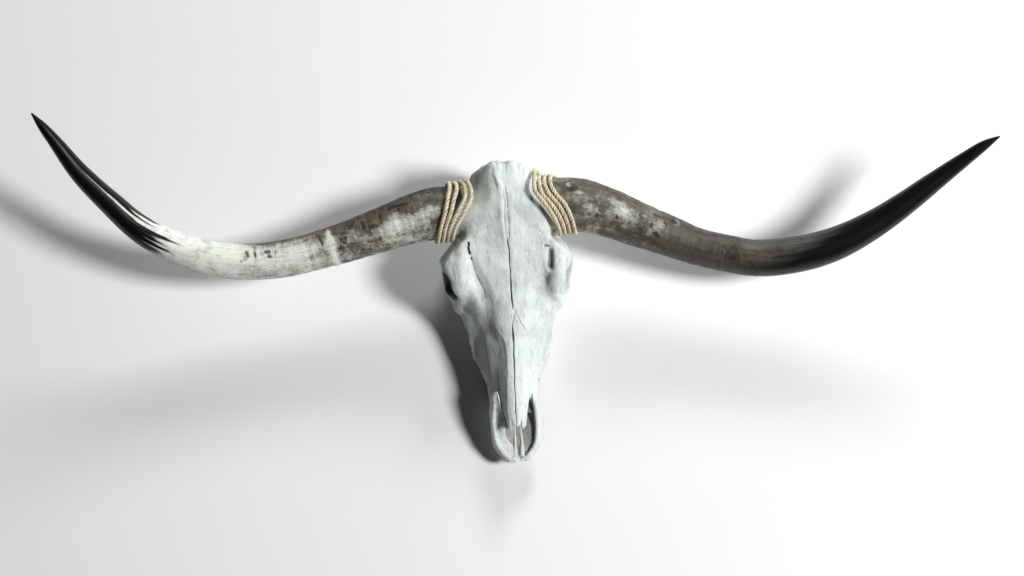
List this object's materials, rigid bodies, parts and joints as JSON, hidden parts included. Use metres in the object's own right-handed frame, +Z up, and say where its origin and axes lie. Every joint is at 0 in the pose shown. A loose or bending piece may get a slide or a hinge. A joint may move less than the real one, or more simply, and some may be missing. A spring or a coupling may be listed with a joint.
{
  "type": "longhorn steer skull",
  "caption": "Bleached longhorn steer skull without its lower jaw, with long outswept horns and a rope binding round each horn base, resting on its cheek teeth.",
  "frame": {"origin": "on the floor, under the middle of the box round the whole object", "axes": "+X towards the animal's left horn, -Y towards the nose, +Z up"},
  "size_m": [1.6958, 0.6236, 0.3007],
  "materials": {
    "bone": "dry chalky sun-bleached bone, matt",
    "horn": "weathered horn, satin, glossier and black towards the tips",
    "rope": "dry twisted natural fibre"
  },
  "bodies": {
    "root": {"cranium": "bone", "muzzle": "bone", "nasal_left": "bone", "nasal_right": "bone", "premaxilla_left": "bone", "premaxilla_right": "bone", "horn_left": "horn", "horn_right": "horn", "rope_left": "rope", "rope_right": "rope"}
  },
  "joints": []
}
